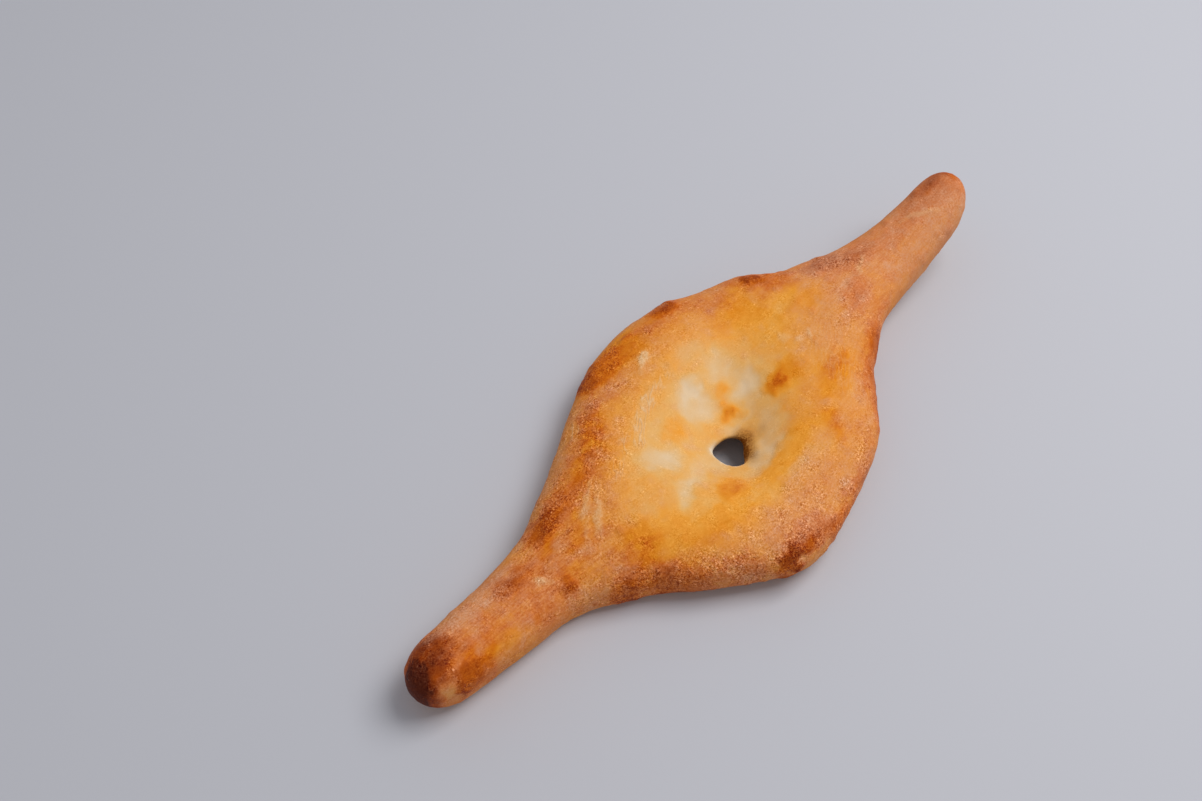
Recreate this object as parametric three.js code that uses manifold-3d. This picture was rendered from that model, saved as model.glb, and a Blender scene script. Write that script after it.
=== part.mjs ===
// Shoti, a canoe-shaped flat loaf from a clay oven: a puffed oval body with a thin, dished middle,
// a vent hole poked right through it, and a thick rounded tail at each end. One solid, in millimetres,
// +Z up, with its long axis along X and its origin under the middle of its box, on the table.
import * as THREE from "three";
import { mergeVertices } from "three/addons/utils/BufferGeometryUtils.js";
import Module from "manifold-3d";

// Driving dimensions: the loaf's plan, as the distance of its two long edges from the X axis.
const WEST_TIP = -179;
const EAST_TIP = 179;
const NORTH_EDGE = [
  [-179, 15], [-145, 18.5], [-115, 22], [-92, 28], [-64, 42.5], [-34, 60], [-4, 70],
  [28, 68], [64, 56], [84, 40.5], [110, 31.5], [145, 24.5], [179, 23],
];
const SOUTH_EDGE = [
  [-179, -10.5], [-140, -12.5], [-110, -14], [-85, -26], [-54, -50], [-22, -68.5],
  [16, -61], [48, -48], [74, -24], [100, -9.5], [140, -6], [160, -3], [179, 1],
];
const WEST_TIP_ROUND = 17;
const EAST_TIP_ROUND = 15;

// Driving dimensions: the loaf's side view, as its thickness and how far its underside bends up.
const THICKNESS = [[-179, 27], [-115, 28], [-55, 34], [5, 37], [65, 35], [125, 28], [179, 26]];
const LIFT = [[-179, 5], [-130, 1.5], [-75, 0], [60, 0], [110, 5], [155, 17], [179, 23]];

// How deep the round underside is pressed flat, where the dough stuck to the oven wall.
const PRESSED_FLAT = 3;

// How square a section is above and below its widest line: 2 is an ellipse.
const TOP_SQUARENESS = 2.3;
const BASE_SQUARENESS = 3;
const WIDEST_LINE = 0.46;

// The thin middle, as oval bowls turned by some degrees: the dish, the trough that runs on from the vent,
// and the funnel round the vent. The underside has one shallow bowl.
const TOP_DISHES = [
  { x: 7, y: 4, length: 50, width: 35, turn: 25, depth: 10.5 },
  { x: 16, y: 10, length: 32, width: 16, turn: 50, depth: 4 },
  { x: -5, y: -9, length: 27, width: 22, turn: 45, depth: 8 },
];
const BASE_DISH = { x: -5, y: -7, length: 44, width: 28, turn: 15, depth: 14 };

// The vent: an oval hole, stretched at an angle, with one blunt corner and soft lips.
const VENT = { x: -7, y: -8.5, z: 13, radius: 7.6, lip: 1.2, halfWeb: 3 };
const VENT_STRETCH = { share: 0.12, turn: 45 };
const VENT_CORNER = { share: 0.12, turn: 135 };

// Swellings of the crust, and dents where the height is below zero: place, radius and height.
const BLISTERS = [
  { x: -22, y: 62, radius: 10, height: 1.6 },
  { x: 30, y: 66, radius: 9, height: 1.4 },
  { x: 66, y: 51, radius: 9, height: 0.8 },
  { x: 92, y: 36, radius: 8, height: 1 },
  { x: -31, y: -65, radius: 13, height: 1 },
  { x: -88, y: -24, radius: 9, height: 1 },
  { x: -89, y: 26, radius: 10, height: 1 },
  { x: 56, y: -43, radius: 9, height: -1.5 },
  { x: 85, y: -18, radius: 10, height: 0.8 },
];

// The soft unevenness of hand-stretched dough.
const LUMP_SEED = 11;
const LUMP_WAVES = 7;
const LUMP_LENGTHS = [38, 90];
const LUMP_HEIGHT = 0.28;

// Mesh fineness.
const POINTS_AROUND = 64;
const STATIONS = 70;
const TIP_STATIONS = 5;
const OUTLINE_POINTS = 240;
const VENT_POINTS = 24;
const LIP_STEPS = 4;
const VENT_REACH = 60;

const CRUST = { color: "#d8924c", roughness: 0.72, metalness: 0 };

// A smooth curve through [x, value] pairs that are in order of x.
function along(pairs, x) {
  const last = pairs.length - 1;
  const slope = (i) => {
    const [xa, va] = pairs[Math.max(0, i - 1)];
    const [xb, vb] = pairs[Math.min(last, i + 1)];
    return (vb - va) / (xb - xa);
  };
  const i = Math.min(last - 1, Math.max(0, pairs.findLastIndex(([start]) => start <= x)));
  const [x0, v0] = pairs[i];
  const [x1, v1] = pairs[i + 1];
  const span = x1 - x0;
  const t = THREE.MathUtils.clamp((x - x0) / span, 0, 1);
  const a = slope(i) * span - (v1 - v0);
  const b = -slope(i + 1) * span + (v1 - v0);
  return (1 - t) * v0 + t * v1 + t * (1 - t) * ((1 - t) * a + t * b);
}

// The depth of an oval bowl at x, y: full in its middle and fading out all round.
function bowl(dish, x, y) {
  const offset = new THREE.Vector2(x - dish.x, y - dish.y);
  offset.rotateAround(new THREE.Vector2(), -THREE.MathUtils.degToRad(dish.turn));
  return dish.depth * Math.exp(-((offset.x / dish.length) ** 2) - (offset.y / dish.width) ** 2);
}

// How far the blisters and dents move the crust at x, y.
function blistering(x, y) {
  return BLISTERS.reduce(
    (sum, b) => sum + b.height * Math.exp(-((x - b.x) ** 2 + (y - b.y) ** 2) / b.radius ** 2),
    0,
  );
}

// Sums a few seeded waves into one smooth, lumpy field.
function lumpField() {
  const { seededRandom, lerp } = THREE.MathUtils;
  seededRandom(LUMP_SEED);
  const waves = Array.from({ length: LUMP_WAVES }, () => {
    const heading = 2 * Math.PI * seededRandom();
    const reach = (2 * Math.PI) / lerp(...LUMP_LENGTHS, seededRandom());
    const phase = 2 * Math.PI * seededRandom();
    return { kx: reach * Math.cos(heading), ky: reach * Math.sin(heading), phase };
  });
  return (x, y, z) =>
    LUMP_HEIGHT * waves.reduce((sum, w) => sum + Math.sin(w.kx * x + w.ky * (y + z) + w.phase), 0);
}

// Where the sections stand: close together where a tip rounds off, evenly spaced between.
function stations() {
  const places = [];
  for (let i = 1; i <= TIP_STATIONS; i++) {
    const turn = (Math.PI / 2) * (i / (TIP_STATIONS + 1));
    places.push(WEST_TIP + WEST_TIP_ROUND * (1 - Math.cos(turn)));
    places.push(EAST_TIP - EAST_TIP_ROUND * (1 - Math.cos(turn)));
  }
  for (let i = 0; i < STATIONS; i++) {
    places.push(
      THREE.MathUtils.lerp(WEST_TIP + WEST_TIP_ROUND, EAST_TIP - EAST_TIP_ROUND, i / (STATIONS - 1)),
    );
  }
  return places.sort((a, b) => a - b);
}

// How much of its full size a section keeps as it nears a rounded tip.
function tipFactor(x) {
  const west = Math.max(0, (WEST_TIP + WEST_TIP_ROUND - x) / WEST_TIP_ROUND);
  const east = Math.max(0, (x - EAST_TIP + EAST_TIP_ROUND) / EAST_TIP_ROUND);
  return Math.sqrt(Math.max(0, 1 - west ** 2 - east ** 2));
}

// The middle and the half sizes of the section at x.
function sectionSizes(x) {
  const north = along(NORTH_EDGE, x);
  const south = along(SOUTH_EDGE, x);
  const thickness = along(THICKNESS, x);
  const keep = tipFactor(x);
  return {
    y: (north + south) / 2,
    z: along(LIFT, x) - PRESSED_FLAT + thickness * WIDEST_LINE,
    half: ((north - south) / 2) * keep,
    above: thickness * (1 - WIDEST_LINE) * keep,
    below: thickness * WIDEST_LINE * keep,
  };
}

// One closed section across the loaf at x, as evenly spaced points.
function section(x, lumps) {
  const size = sectionSizes(x);
  const rim = Array.from({ length: OUTLINE_POINTS + 1 }, (_, i) => {
    const turn = (2 * Math.PI * i) / OUTLINE_POINTS;
    const across = Math.cos(turn);
    const up = Math.sin(turn);
    const power = 2 / (up >= 0 ? TOP_SQUARENESS : BASE_SQUARENESS);
    const side = Math.sign(across) * Math.abs(across) ** power;
    const rise = Math.sign(up) * Math.abs(up) ** power;
    return new THREE.Vector2(side * size.half, rise * (up >= 0 ? size.above : size.below));
  });
  return new THREE.Path(rim)
    .getSpacedPoints(POINTS_AROUND)
    .slice(0, POINTS_AROUND)
    .map((p) => shapedPoint(x, p, size, lumps));
}

// Swells a point of a plain section along its normal, presses in the dishes and flattens the underside.
function shapedPoint(x, p, size, lumps) {
  const top = Math.max(0, p.y) / size.above;
  const base = Math.max(0, -p.y) / size.below;
  const normal = new THREE.Vector2(p.x / size.half ** 2, (top - base) / size.above).normalize();
  const swell = (1 - base) * (lumps(x, size.y + p.x, p.y) + blistering(x, size.y + p.x));
  const y = size.y + p.x + normal.x * swell;
  const dish = TOP_DISHES.reduce((sum, d) => sum + bowl(d, x, y), 0);
  const z = size.z + p.y + normal.y * swell - top * dish + base * bowl(BASE_DISH, x, y);
  return new THREE.Vector3(x, y, Math.max(0, z));
}

// A closed solid through rings of points, with a pole at each end.
function loft(rings, firstPole, lastPole) {
  const count = rings[0].length;
  const points = [firstPole, ...rings.flat(), lastPole];
  const at = (ring, i) => 1 + ring * count + (i % count);
  const faces = [];
  for (let i = 0; i < count; i++) {
    faces.push(0, at(0, i + 1), at(0, i));
    faces.push(points.length - 1, at(rings.length - 1, i), at(rings.length - 1, i + 1));
    for (let ring = 0; ring < rings.length - 1; ring++) {
      faces.push(at(ring, i), at(ring, i + 1), at(ring + 1, i));
      faces.push(at(ring, i + 1), at(ring + 1, i + 1), at(ring + 1, i));
    }
  }
  return new THREE.BufferGeometry().setFromPoints(points).setIndex(faces);
}

// The loaf before the vent is poked.
function loafGeometry() {
  const lumps = lumpField();
  const rings = stations().map((x) => section(x, lumps));
  const pole = (x) => {
    const size = sectionSizes(x);
    return new THREE.Vector3(x, size.y, size.z);
  };
  return loft(rings, pole(WEST_TIP), pole(EAST_TIP));
}

// The shape that the poking finger leaves: an upright prism that widens towards both lips.
function ventGeometry() {
  const { degToRad } = THREE.MathUtils;
  const outline = (turn) => {
    const stretch = VENT_STRETCH.share * Math.cos(2 * (turn - degToRad(VENT_STRETCH.turn)));
    const corner = VENT_CORNER.share * Math.cos(3 * (turn - degToRad(VENT_CORNER.turn)));
    return VENT.radius * (1 + stretch + corner);
  };
  const levels = [[-VENT_REACH, VENT.lip]];
  for (let i = -LIP_STEPS; i <= LIP_STEPS; i++) {
    const t = i / LIP_STEPS;
    levels.push([VENT.z + VENT.halfWeb * t, VENT.lip * t * t]);
  }
  levels.push([VENT_REACH, VENT.lip]);
  const rings = levels.map(([z, spread]) =>
    Array.from({ length: VENT_POINTS }, (_, i) => {
      const turn = (2 * Math.PI * i) / VENT_POINTS;
      const radius = outline(turn) + spread;
      return new THREE.Vector3(VENT.x + radius * Math.cos(turn), VENT.y + radius * Math.sin(turn), z);
    }),
  );
  const pole = (z) => new THREE.Vector3(VENT.x, VENT.y, z);
  return loft(rings, pole(-VENT_REACH), pole(VENT_REACH));
}

const wasm = await Module();
wasm.setup();

// A closed geometry as a solid that can be cut.
function solid(geometry) {
  const merged = mergeVertices(geometry);
  return new wasm.Manifold(
    new wasm.Mesh({
      numProp: 3,
      vertProperties: new Float32Array(merged.attributes.position.array),
      triVerts: new Uint32Array(merged.index.array),
    }),
  );
}

// A cut solid as a geometry again, centred over the origin.
function geometryOf(cut) {
  const { vertProperties, triVerts } = cut.getMesh();
  const geometry = new THREE.BufferGeometry();
  geometry.setAttribute("position", new THREE.BufferAttribute(vertProperties, 3));
  geometry.setIndex(new THREE.BufferAttribute(triVerts, 1));
  geometry.computeBoundingBox();
  const middle = geometry.boundingBox.getCenter(new THREE.Vector3());
  geometry.translate(-middle.x, -middle.y, 0);
  geometry.computeVertexNormals();
  return geometry;
}

const loaf = new THREE.Mesh(
  geometryOf(solid(loafGeometry()).subtract(solid(ventGeometry()))),
  new THREE.MeshStandardMaterial(CRUST),
);
loaf.name = "loaf";

const shoti = new THREE.Group();
shoti.add(loaf);

export default shoti;
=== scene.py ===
# %% [markdown]
# # Dressing a shoti loaf
# A shoti is a canoe-shaped flat loaf that bakes stuck to the wall of a clay oven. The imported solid
# already has its true form: the puffed body, the thin dished middle, the vent and the two tails.
# What it lacks is a crust. This lesson copies the solid, relaxes its facets, raises the small relief
# that baking leaves, and then colours the crust the way heat and flour did.
#
# Places on the loaf are in millimetres. East is +X, along the loaf to its far tail, and north is +Y,
# across it to its back edge.

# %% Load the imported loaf
import math

import bmesh
import bpy
import numpy as np
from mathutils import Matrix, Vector, kdtree, noise


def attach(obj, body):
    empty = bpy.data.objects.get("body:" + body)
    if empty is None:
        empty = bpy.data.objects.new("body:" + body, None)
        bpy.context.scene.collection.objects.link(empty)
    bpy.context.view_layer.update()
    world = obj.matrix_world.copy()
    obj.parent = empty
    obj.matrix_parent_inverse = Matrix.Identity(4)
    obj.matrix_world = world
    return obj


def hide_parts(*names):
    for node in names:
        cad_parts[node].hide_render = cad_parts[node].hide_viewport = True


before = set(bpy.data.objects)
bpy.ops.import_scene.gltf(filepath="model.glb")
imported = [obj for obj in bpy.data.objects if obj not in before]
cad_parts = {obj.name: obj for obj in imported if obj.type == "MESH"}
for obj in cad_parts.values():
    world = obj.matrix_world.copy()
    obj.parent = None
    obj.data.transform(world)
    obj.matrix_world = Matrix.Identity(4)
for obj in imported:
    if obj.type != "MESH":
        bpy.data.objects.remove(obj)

MM = 0.001
scene = bpy.context.scene
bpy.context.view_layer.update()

# %% [markdown]
# ## The camera
# The loaf is seen from above and from the south-west, through a lens a little longer than a phone's.
# A camera can be aimed with a constraint, but a constraint would follow its target when the loaf is
# looked at from other sides. A fixed place and a direction of view are enough, so we turn the two
# angles of view into a direction and let `to_track_quat` make the rotation.

# %% Place the camera
CAMERA_PLACE = Vector((-0.277, -0.200, 0.4983))
LOOK_DOWN = math.radians(53.9)
LOOK_ROUND = math.radians(45)
LENS_LENGTH = 40
SENSOR_WIDTH = 36
look = Vector((
    math.cos(LOOK_ROUND) * math.cos(LOOK_DOWN),
    math.sin(LOOK_ROUND) * math.cos(LOOK_DOWN),
    -math.sin(LOOK_DOWN),
))
lens = bpy.data.cameras.new("table_view")
lens.lens = LENS_LENGTH
lens.sensor_width = SENSOR_WIDTH
camera = bpy.data.objects.new("table_view", lens)
camera.location = CAMERA_PLACE
camera.rotation_euler = look.to_track_quat("-Z", "Y").to_euler()
scene.collection.objects.link(camera)
scene.camera = camera

# %% [markdown]
# ## Light and table
# One large soft light stands high on the right, and pale light from all round fills the shadows. A
# wide area light does the first and a pale world the second. With the Standard view transform a
# colour that is fully lit comes out as it was chosen, which makes bread easy to match: the filmic
# transforms would grey its yellows.

# %% Light the table
KEY_PLACE = Vector((0.72, -0.32, 1.32))
KEY_SIZE = 0.9
KEY_POWER = 15.0
FILL_COLOUR = (0.93, 0.95, 1.0, 1.0)
FILL_STRENGTH = 0.40
key = bpy.data.lights.new("softbox", "AREA")
key.size = KEY_SIZE
key.energy = KEY_POWER
key_object = bpy.data.objects.new("softbox", key)
key_object.location = KEY_PLACE
key_object.rotation_euler = (-KEY_PLACE).to_track_quat("-Z", "Y").to_euler()
scene.collection.objects.link(key_object)
fill = bpy.data.worlds.new("fill")
fill.use_nodes = True
fill.node_tree.nodes["Background"].inputs["Color"].default_value = FILL_COLOUR
fill.node_tree.nodes["Background"].inputs["Strength"].default_value = FILL_STRENGTH
scene.world = fill
scene.view_settings.view_transform = "Standard"
print("light stands", round(KEY_PLACE.length, 2), "m away")

# %% Lay the table under it
TABLE_RADIUS = 9.0
TABLE_SIDES = 96
TABLE_COLOUR = (0.56, 0.56, 0.60, 1.0)
TABLE_ROUGHNESS = 0.7
table_mesh = bpy.data.meshes.new("table")
sheet = bmesh.new()
bmesh.ops.create_circle(sheet, cap_ends=True, segments=TABLE_SIDES, radius=TABLE_RADIUS)
sheet.to_mesh(table_mesh)
sheet.free()
table = bpy.data.objects.new("table", table_mesh)
scene.collection.objects.link(table)
laminate = bpy.data.materials.new("pale_table")
laminate.use_nodes = True
laminate.node_tree.nodes["Principled BSDF"].inputs["Base Color"].default_value = TABLE_COLOUR
laminate.node_tree.nodes["Principled BSDF"].inputs["Roughness"].default_value = TABLE_ROUGHNESS
table_mesh.materials.append(laminate)
print("table reaches", TABLE_RADIUS, "m all round")

# %% [markdown]
# ## The loaf's blank
# The solid is faceted, and its triangles are long and uneven, so relief pressed into them would
# show their edges. A Subdivision Surface modifier would round them, but keep their uneven sizes. A
# voxel Remesh instead gives even little quads all over, as fine as the crust's smallest bump, and
# `smooth_vert` then rubs the facets out, as a baker's wet hand does. A rub alone would shrink the
# loaf, so each one is followed by a swell. Round the vent the rubbing is lighter, so that its lip
# stays thin.

# %% Copy the solid and remesh it
SKIN_GRID = 0.97 * MM
MERGE_WITHIN = 0.01 * MM
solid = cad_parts["loaf"]
blank_mesh = solid.data.copy()
blank_mesh.materials.clear()
merged = bmesh.new()
merged.from_mesh(blank_mesh)
bmesh.ops.remove_doubles(merged, verts=merged.verts, dist=MERGE_WITHIN)
merged.to_mesh(blank_mesh)
merged.free()
blank = bpy.data.objects.new("blank", blank_mesh)
scene.collection.objects.link(blank)
remesh = blank.modifiers.new("even_grid", "REMESH")
remesh.mode = "VOXEL"
remesh.voxel_size = SKIN_GRID
remeshed = blank.evaluated_get(bpy.context.evaluated_depsgraph_get())
loaf_mesh = bpy.data.meshes.new_from_object(remeshed)
loaf_mesh.name = "crust"
bpy.data.objects.remove(blank)
print("even skin has", len(loaf_mesh.polygons), "quads")

# %% Rub the facets out
RUBBING_ROUNDS = 30
LIP_ROUNDS = 4
RUB = 0.5
SWELL = -0.53
VENT = Vector((-7.0, -9.0)) * MM
VENT_KEPT = 13 * MM
skin = bmesh.new()
skin.from_mesh(loaf_mesh)
away_from_vent = [v for v in skin.verts if (v.co.xy - VENT).length > VENT_KEPT]
for rubbed, rounds in ((away_from_vent, RUBBING_ROUNDS), (skin.verts, LIP_ROUNDS)):
    for factor in (RUB, SWELL) * rounds:
        bmesh.ops.smooth_vert(
            skin, verts=rubbed, factor=factor, use_axis_x=True, use_axis_y=True, use_axis_z=True
        )
print("rubbed lightly round the vent:", len(skin.verts) - len(away_from_vent), "points")
skin.to_mesh(loaf_mesh)
skin.free()
loaf_mesh.polygons.foreach_set("use_smooth", [True] * len(loaf_mesh.polygons))
loaf = bpy.data.objects.new("loaf_crust", loaf_mesh)
scene.collection.objects.link(loaf)

# %% Read the skin's points
points = np.empty(len(loaf_mesh.vertices) * 3)
loaf_mesh.vertices.foreach_get("co", points)
points = points.reshape(-1, 3) / MM
outward = np.empty(len(points) * 3)
loaf_mesh.vertex_normals.foreach_get("vector", outward)
outward = outward.reshape(-1, 3)
east, north, height = points.T
upward = outward[:, 2]
print("skin points:", len(points))

# %% [markdown]
# ## Tools for uneven things
# Nothing on a loaf is even. Blender's `noise` gives smooth lumps that are the same on every run, and
# a seed moves to a fresh stretch of them. Most marks below need lumps of several sizes, so a list of
# layers gives each layer's size, seed and amount. Two more tools are used all the way through: an
# even slope from 0 to 1, and a move part of the way to a goal.

# %% Noise, slopes and blends
SEED_SHIFT = Vector((7.3, 3.1, 5.7))


def lumps(where, seed):
    """Smooth noise, from -1 to 1, with lumps about one unit across."""
    shift = SEED_SHIFT * seed
    return np.array([noise.noise(Vector(place) + shift) for place in where])


def uneven(layers):
    """Noise on the skin, in layers of a size in millimetres, a seed and an amount."""
    return sum(amount * lumps(points / size, seed) for size, seed, amount in layers)


def tops(layers, level):
    """Only the tops of such noise, above a level."""
    return np.clip(uneven(layers) - level, 0, 1)


def rising(values, start, full):
    """0 up to the start, 1 from the full value on, and an even slope between them."""
    return np.clip((values - start) / (full - start), 0, 1)


def towards(values, goal, share):
    """Values moved a share of the way to a goal."""
    return values + (goal - values) * share


# %% [markdown]
# ## Two ways to find a place on the skin
# Most marks on a loaf have a place in plan, so the first way is the plan itself, x and y, bent a
# little by noise so that no mark looks drawn. The second way follows the dough: the baker hangs it
# by its ends, so its skin is drawn out into threads that run along the tails and fan out over the
# body. There a point has a place along the loaf and a place between the two long edges. Noise that
# reads the second pair comes out as streaks that follow the outline. The far tail is smoother than
# the near one, so its streaks are fainter.

# %% Bend the plan and make a soft oval
WANDER_EAST = ((14, 1, 2.4), (5, 3, 2.0), (2.4, 5, 0.9))
WANDER_NORTH = ((14, 2, 2.4), (5, 4, 2.0), (2.4, 6, 0.9))
SOFTNESS = 1.8
plan_x = east + uneven(WANDER_EAST)
plan_y = north + uneven(WANDER_NORTH)
print("marks wander up to", round(float(np.hypot(plan_x - east, plan_y - north).max()), 1), "mm")


def oval(x, y, length, width, turn):
    """1 in the middle of an oval on the plan, falling softly to 0 outside it."""
    angle = math.radians(turn)
    along = (plan_x - x) * math.cos(angle) + (plan_y - y) * math.sin(angle)
    across = (plan_y - y) * math.cos(angle) - (plan_x - x) * math.sin(angle)
    return np.exp(-((along / length) ** 2 + (across / width) ** 2) ** SOFTNESS)


def laid(ovals):
    """The sum of a list of ovals, each times its own amount."""
    return sum(amount * oval(*place) for *place, amount in ovals)


# %% Find the threads
STATION_STEP = 8
LAST_STATION = 176
THREAD_WANDER = ((12, 23, 0.10),)
THREAD_DEPTH = 12
stations = np.arange(-LAST_STATION, LAST_STATION + 1, STATION_STEP)
slices = [north[np.abs(east - station) < STATION_STEP / 2] for station in stations]
south_edge = np.interp(east, stations, [part.min() for part in slices])
north_edge = np.interp(east, stations, [part.max() for part in slices])
breadth = north_edge - south_edge
crossing = (north - (south_edge + north_edge) / 2) / np.sqrt(breadth) + uneven(THREAD_WANDER)
print("loaf is", round(float(breadth.max())), "mm broad at most")


def along_threads(length, fineness):
    """Places for a noise that is drawn out along the loaf."""
    return np.column_stack((east / length, crossing * fineness, height / THREAD_DEPTH))


# %% Draw the skin out into streaks
BROAD_STREAKS = (22, 1.5)
BROAD_SEED = 24
FINE_STREAKS = (10, 3.5)
FINE_SEED = 25
FINE_AMOUNT = 0.6
FAR_TAIL = (95, 115)
FAR_TAIL_SMOOTHER = 0.5
far_tail = rising(east, *FAR_TAIL)
streaks = lumps(along_threads(*BROAD_STREAKS), BROAD_SEED)
streaks += FINE_AMOUNT * lumps(along_threads(*FINE_STREAKS), FINE_SEED)
streaks *= 1 - FAR_TAIL_SMOOTHER * far_tail
print("streaks run from", round(float(streaks.min()), 2), "to", round(float(streaks.max()), 2))

# %% [markdown]
# ## Where the oven browned it
# Heat browns whatever stands out, and leaves hollows pale. Painting that with one noise would give
# a loaf, but not this loaf, so each hollow, golden field, toasted spot and browned blister is one
# soft oval in plan, listed with its middle, half its length and width in millimetres, its turn in
# degrees and how far it shifts the bake. A golden field with an amount below 0 pales its place.
# Noise then breaks each kind of mark up, and the marks fade under the near tip, where an oval in
# plan would smear down the wall.

# %% Pale hollows that fingers pressed
CREAM_HOLLOWS = (
    (-168, -9, 3.4, 1.8, -40, 0.13),
    (-42, -14.5, 9, 4, 30, 0.17),
    (-41, -24, 10, 5, -20, 0.07),
    (-38, 4, 9.5, 7.5, -15, 0.25),
    (-30, -11, 15, 3.6, 22, 0.12),
    (-30, 16, 7, 5, 30, 0.06),
    (-22, -40, 10, 5, 10, 0.05),
    (-18, -12, 5, 4, 20, 0.11),
    (-8, -38, 12, 4, 0, 0.03),
    (-3, -24, 12, 5, 12, 0.22),
    (-3, 16, 9, 9, 60, 0.21),
    (3, 23, 7, 5, 30, 0.20),
    (7, -1, 8, 4, 10, 0.14),
    (13, -14, 13, 9, 55, 0.12),
    (15, 36, 9, 5, 20, 0.10),
    (16, -37, 14, 4, 12, 0.07),
    (19.5, 22, 10, 6.5, 45, 0.17),
    (21, 7, 9, 7, 40, 0.23),
)
HOLLOW_PATCHES = ((4.5, 18, 0.35),)
UNDER_TIP_HEIGHT = (15, 9)
UNDER_TIP_EAST = (-150, -155)
JUST_SEEN = 0.02


def covered(amounts):
    """How much of the skin a mark shows on, in percent."""
    return round(100 * float(np.mean(np.abs(amounts) > JUST_SEEN)))


under_tip = rising(height, *UNDER_TIP_HEIGHT) * rising(east, *UNDER_TIP_EAST)
hollows = laid(CREAM_HOLLOWS) * (1 + uneven(HOLLOW_PATCHES)) * (1 - under_tip)
print("pale hollows on", covered(hollows), "% of the skin")

# %% Golden fields in and round the dish
GOLDEN_DISH = (
    (-66, -12, 8, 6, 0, -0.08),
    (-50, -29, 22, 11, -25, 0.03),
    (-1, -42, 13, 4, 2, -0.07),
    # The field at (6, -12), beside the vent's wall, is painted shade.
    (6, -12, 4.5, 5, 0, 0.06),
    (18, -24, 8, 6, 30, 0.05),
    (19, -18, 6, 4, 40, 0.05),
    (20, 14, 5, 4, 40, 0.06),
    (37, -17, 14, 9, 40, 0.03),
    (42, 12, 10, 9, 0, 0.03),
    (48, -12, 6, 5, 40, -0.04),
    (50, 26, 16, 11, 80, -0.01),
    (54, 18, 7, 6, 0, -0.06),
    (64, 23, 7, 6, 0, -0.07),
    (66, 12, 8, 8, 0, -0.02),
)
gold_and_shade = laid(GOLDEN_DISH)
print("golden fields on", covered(gold_and_shade), "% of the skin")

# %% A golden rim
GOLDEN_NORTH_RIM = (
    (-59, 17, 14, 7, 30, 0.075),
    (-58, 28, 34, 9, 30, 0.10),
    (-42, 27, 9, 6, 35, 0.06),
    (-30, 48, 15, 7, 25, 0.06),
    (-24, 42, 6, 4, 25, 0.05),
    (-18, 37, 13, 4, 15, 0.04),
    (-13, 48, 6, 4, 20, 0.06),
    (-6, 41, 5, 3, 20, 0.04),
    (-4, 53, 8, 5, 0, 0.04),
    (8, 55, 26, 9, 0, 0.08),
    (11, 53, 6, 5, 0, 0.03),
    (18, 42, 6, 4, 0, 0.05),
    (29, 48, 6, 5, 0, -0.04),
    (42, 38, 13, 10, 20, 0.06),
    (42, 50, 16, 8, -10, 0.09),
    (74, 36, 14, 9, -30, 0.165),
)
SOUTH_RIM_GOLD_AND_SHADE = (
    # The fields at (-30, -55) and (-19, -60.5) darken the rim's lower edge as painted shade.
    (-30, -55, 8, 4, 0, 0.05),
    (-19, -60.5, 12, 4, 3, 0.17),
    (-12, -53, 18, 5, 2, 0.05),
    (40, -48, 14, 4, 20, 0.04),
    (59, -33, 16, 6, 42, 0.09),
)
gold_and_shade += laid(GOLDEN_NORTH_RIM) + laid(SOUTH_RIM_GOLD_AND_SHADE)
print("with the rim, on", covered(gold_and_shade), "%")

# %% Golden tails
GOLDEN_TAILS = (
    (-150, -6, 8, 5, 0, 0.06),
    (-140, 10, 26, 5, 0, 0.04),
    (-134, 1, 22, 6, 0, 0.04),
    (-126, -6, 7, 5, 0, 0.05),
    (-114, -11, 14, 5, 0, 0.05),
    (-104, 0, 20, 8, 3, 0.07),
    (-94, 6, 6, 4, 20, 0.05),
    (-84, -18, 7, 5, -20, 0.06),
    (-81, -3, 7, 5, 0, 0.04),
    (85, 0, 7, 6, 0, 0.06),
    (90, -6, 12, 9, 20, 0.05),
    (90, 17, 5, 4, 0, 0.05),
    (108, 19, 14, 9, 0, 0.10),
    (114, 18, 6, 4, 0, 0.06),
    (147, 12, 30, 7, 0, 0.08),
    (150, 4, 14, 6, 0, 0.04),
)
gold_and_shade += laid(GOLDEN_TAILS)
print("with the tails, on", covered(gold_and_shade), "%")

# %% Toasted spots where a bump met the heat
TOASTED_SPOTS = (
    (-144, 4, 3, 2.5, 0, 0.06),
    (-78, -4, 4, 3, 0, 0.08),
    (-72, 21, 8, 4, 35, 0.03),
    (-70, -16, 7, 9, 20, 0.13),
    (-70, 1.5, 7, 2, 55, 0.06),
    (-66, 29, 4, 2.4, 30, 0.04),
    (-60, 24, 5, 2.6, 25, 0.08),
    (-26, -27, 7, 6.4, 0, 0.20),
    (-21, 11.5, 8, 5, 10, 0.09),
    (8.8, 4, 5.8, 4.8, -15, 0.29),
    (13.8, 13, 4, 3.6, 40, 0.15),
    (27, -37, 9, 5, 35, 0.09),
    (29.5, -2.8, 5, 4.2, 60, 0.28),
    (38, -3, 8, 6, 0, 0.15),
    (54, -17, 9, 6, 20, 0.09),
    (63, 31, 5, 4, 0, 0.05),
    (68, 16, 6, 6, 0, 0.05),
    (113, 14.5, 3, 2, 0, 0.10),
)
SPOT_PATCHES = ((3.6, 16, 0.40), (1.9, 17, 0.25))
toasted = laid(TOASTED_SPOTS) * (1 + uneven(SPOT_PATCHES))
print("toasted spots on", covered(toasted), "% of the skin")

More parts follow.
